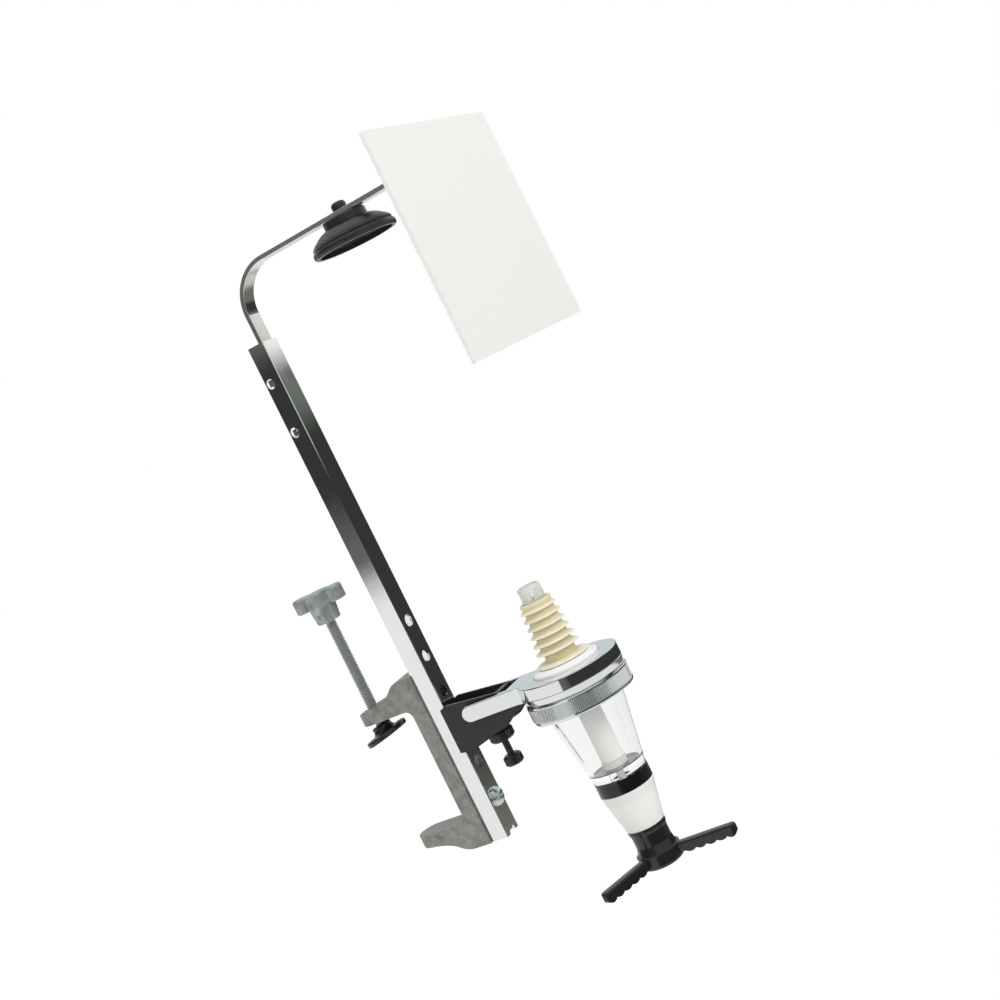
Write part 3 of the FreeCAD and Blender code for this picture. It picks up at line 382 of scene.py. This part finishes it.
def knurled_lock_ring(radius, grip_foot, grip_top, rim, spigot, spigot_top, bore, ledge, mouth,
                      cuts=150, depth=0.36):
    """Lock ring with a diamond knurl round its grip, in mm, with heights above the ring's foot."""
    half_pitch = math.pi * radius / cuts
    rows = 2 * round((grip_top - grip_foot) / half_pitch / 2)
    columns = 2 * cuts
    crest = radius - 0.02
    neck = radius - 0.10
    land = radius - 0.25

    def knurl_reach(row, column):
        """Every other corner of the grip is a point, apart from those along its two edges."""
        point = (row + column) % 2 == 1 and 0 < row < rows
        return crest if point else crest - depth

    below = [(mouth, 0.0), (radius - 1.5, 0.0), (radius - 1.0, 0.08), (radius - 0.5, 0.35),
             (radius - 0.18, 0.75), (neck, 1.15), (neck, grip_foot)]
    above = [(land, grip_top + 0.12), (land, rim - 0.5), (radius - 0.5, rim - 0.1), (radius - 0.9, rim),
             (spigot, rim), (spigot, spigot_top), (bore, spigot_top), (bore, ledge), (mouth, ledge)]
    levels = [([reach] * columns, height) for reach, height in below]
    for row in range(rows + 1):
        reaches = [knurl_reach(row, column) for column in range(columns)]
        levels.append((reaches, grip_foot + (grip_top - grip_foot) * row / rows))
    levels += [([reach] * columns, height) for reach, height in above]

    mesh = bmesh.new()
    rings = [points_round_axis(mesh, reaches, height) for reaches, height in levels]
    for level, here in enumerate(rings):
        over = rings[(level + 1) % len(rings)]
        row = level - len(below)
        for column in range(columns):
            after = (column + 1) % columns
            a, b, c, d = here[column], here[after], over[after], over[column]
            if not 0 <= row < rows:
                mesh.faces.new((a, b, c, d))
            elif (row + column) % 2 == 0:
                mesh.faces.new((a, b, c))
                mesh.faces.new((a, c, d))
            else:
                mesh.faces.new((a, b, d))
                mesh.faces.new((b, c, d))
    return solid_piece("knurled_lock_ring", mesh, KNURL_CHROME)


lock_ring = knurled_lock_ring(radius=27.2, grip_foot=1.8, grip_top=9.0, rim=10.0, spigot=24.5,
                              spigot_top=14.0, bore=23.6, ledge=3.0, mouth=20.98)
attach(lock_ring, "measure")
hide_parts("lock_ring")

# ---------------------------------------------------------------- return spring of the tap


def tap_return_spring(low, high, wire_radius=0.45 * MM, turns=6.5, steps=40, flats=10):
    """Coil that fills the box from low to high, with a round wire and blunt ends."""
    radius = (high.x - low.x) / 2 - wire_radius
    rise = high.z - low.z - 2 * wire_radius
    slope = math.atan2(rise, 2 * math.pi * radius * turns)
    drawn_radius = 0.97 * wire_radius
    stations = round(turns * steps)
    mesh = bmesh.new()
    rings = []
    for station in range(stations + 1):
        angle = 2 * math.pi * station / steps
        out = Vector((math.cos(angle), math.sin(angle), 0))
        across = Vector((-math.sin(angle), math.cos(angle), 0))
        along = across * math.cos(slope) + UP * math.sin(slope)
        side = along.cross(out)
        height = low.z + wire_radius + rise * station / stations
        middle = Vector((AXIS.x, AXIS.y, height)) + out * radius
        ring = []
        for flat in range(flats):
            turn = 2 * math.pi * flat / flats
            reach = out * math.cos(turn) + side * math.sin(turn)
            ring.append(mesh.verts.new(middle + reach * drawn_radius))
        rings.append(ring)
    for here, after in zip(rings, rings[1:]):
        for flat in range(flats):
            beside = (flat + 1) % flats
            mesh.faces.new((here[flat], here[beside], after[beside], after[flat]))
    mesh.faces.new(rings[0][::-1])
    mesh.faces.new(rings[-1])
    return solid_piece("tap_return_spring", mesh, ZINC, sharp=50)


spring_low, spring_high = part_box("return_spring")
return_spring = tap_return_spring(spring_low, spring_high)
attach(return_spring, "tap")
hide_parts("return_spring")
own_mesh(return_spring)

# ---------------------------------------------------------------- studio


def bearing(degrees):
    """Level direction, as an angle from +X towards +Y."""
    return (math.cos(math.radians(degrees)), math.sin(math.radians(degrees)), 0)


# Each panel of the studio: its colour, then the directions that it fills, each with the two cosines
# between which its soft edge runs from dark to lit
STUDIO_PANELS = (
    ((0.84, 0.86, 0.82), (DOWN, 0.44, 0.56)),
    ((0.90, 0.91, 0.885), (bearing(96), 0.10, 0.18), (DOWN, 0.066, 0.108)),
    ((0.13, 0.135, 0.13), (bearing(147), 0.5, 0.8), (DOWN, 0.005, 0.075)),
    ((0.18, 0.185, 0.16), (bearing(327), 0.6, 0.8), (DOWN, 0.17, 0.27)),
    ((0.15, 0.17, 0.145), (bearing(327), 0.7, 0.9), (UP, -0.005, 0.035)),
    ((0.97, 0.98, 0.93), (bearing(327), 0.7, 0.9), (UP, 0.040, 0.072)),
    ((0.62, 0.68, 0.70), (AHEAD, 0.3, 0.6), (UP, 0.02, 0.10)),
    ((0.18, 0.19, 0.18), (bearing(147), 0.7, 0.9), (UP, 0.04, 0.09)),
    ((0.60, 0.61, 0.60), (bearing(240), 0.50, 0.65), (UP, -0.03, 0.02)),
    ((0.85, 0.86, 0.85), (UP, 0.62, 0.75)),
)
UNLIT_STUDIO = (0.036, 0.040, 0.037)
LIGHT_ALL_ROUND = (0.72, 0.72, 0.72, 1)
BACKDROP = (1, 1, 1, 1)


def seen_ray(tree):
    """1 where the camera looks, straight or through clear plastic, and 0 for all other rays."""
    path = add(tree, "ShaderNodeLightPath").outputs
    return maths(tree, "MAXIMUM", path["Is Camera Ray"], path["Is Transmission Ray"])


def studio_world():
    """White behind the part and through clear plastic; a dark studio with pale panels to shiny metal."""
    world = bpy.data.worlds.new("studio")
    bpy.context.scene.world = world
    world.use_nodes = True
    tree = world.node_tree
    tree.nodes.clear()
    place = add(tree, "ShaderNodeTexCoord").outputs["Generated"]

    def towards(direction, low, high):
        """How far the studio is lit in one direction, with a soft edge."""
        cosine = vector_maths(tree, "DOT_PRODUCT", place, Vector(direction).normalized()).outputs["Value"]
        return ramp(tree, cosine, low, high, curve="SMOOTHSTEP")

    def panel(colour, first_side, *other_sides):
        """Light of one panel, which is lit only where all its directions are."""
        lit = towards(*first_side)
        for side in other_sides:
            lit = maths(tree, "MULTIPLY", lit, towards(*side))
        return scaled(tree, colour, lit)

    shiny = UNLIT_STUDIO
    for description in STUDIO_PANELS:
        shiny = vector_maths(tree, "MAXIMUM", shiny, panel(*description)).outputs[0]
    glossy_ray = add(tree, "ShaderNodeLightPath").outputs["Is Glossy Ray"]
    around = colour_between(tree, glossy_ray, LIGHT_ALL_ROUND, shiny)
    colour = colour_between(tree, seen_ray(tree), around, BACKDROP)
    background = add(tree, "ShaderNodeBackground", {"Color": colour})
    add(tree, "ShaderNodeOutputWorld", {"Surface": background.outputs[0]})


def studio_floor():
    """Pale sheet well below the part; it keeps the part's soft shadow and is white elsewhere."""
    half = 40.0
    level = cad_box[0].z - 0.17
    glow = 0.22
    corners = [(-half, -half, level), (half, -half, level), (half, half, level), (-half, half, level)]
    mesh = bpy.data.meshes.new("studio_floor")
    mesh.from_pydata(corners, [], [(0, 1, 2, 3)])
    floor = bpy.data.objects.new("studio_floor", mesh)
    bpy.context.collection.objects.link(floor)
    material = bpy.data.materials.new("pale_floor")
    material.use_nodes = True
    tree = material.node_tree
    shader = tree.nodes["Principled BSDF"]
    shader.inputs["Base Color"].default_value = (0.82, 0.82, 0.82, 1)
    shader.inputs["Roughness"].default_value = 0.9
    shader.inputs["Specular IOR Level"].default_value = 0.0
    shader.inputs["Emission Color"].default_value = (1, 1, 1, 1)
    lift = maths(tree, "MULTIPLY", seen_ray(tree), glow)
    tree.links.new(lift, shader.inputs["Emission Strength"])
    mesh.materials.append(material)
    floor.visible_glossy = False


def soft_sun(name, direction, strength, spread):
    """Lamp that shines from a direction; its spread is how wide it looks from the part, in degrees."""
    light = bpy.data.lights.new(name, "SUN")
    light.energy = strength
    light.angle = math.radians(spread)
    lamp = bpy.data.objects.new(name, light)
    bpy.context.collection.objects.link(lamp)
    lamp.visible_glossy = False
    lamp.rotation_mode = "QUATERNION"
    lamp.rotation_quaternion = (-Vector(direction)).to_track_quat("-Z", "Y")


studio_world()
studio_floor()
soft_sun("key_light", direction=(-0.35, -0.85, 0.75), strength=1.15, spread=35)
soft_sun("fill_light", direction=(-0.9, 0.5, 0.5), strength=0.25, spread=50)

# ---------------------------------------------------------------- camera


def camera():
    """Level camera at the object's left front, turned about its own line of sight."""
    roll = math.radians(26.43)
    lens = bpy.data.cameras.new("camera")
    lens.sensor_width = 36.0
    lens.lens = 59.2
    lens.shift_x = 0.058
    lens.shift_y = -0.1166
    lens.clip_start = 0.01
    lens.clip_end = 100.0
    eye = bpy.data.objects.new("camera", lens)
    bpy.context.collection.objects.link(eye)
    across = RIGHT * math.cos(roll) - UP * math.sin(roll)
    above = RIGHT * math.sin(roll) + UP * math.cos(roll)
    turn = Matrix((across, above, -AHEAD)).transposed()
    eye.rotation_mode = "QUATERNION"
    eye.rotation_quaternion = turn.to_quaternion()
    eye.location = (-0.7091, -0.4972, 0.2064)
    bpy.context.scene.camera = eye


camera()
bpy.context.scene.view_settings.view_transform = "Standard"
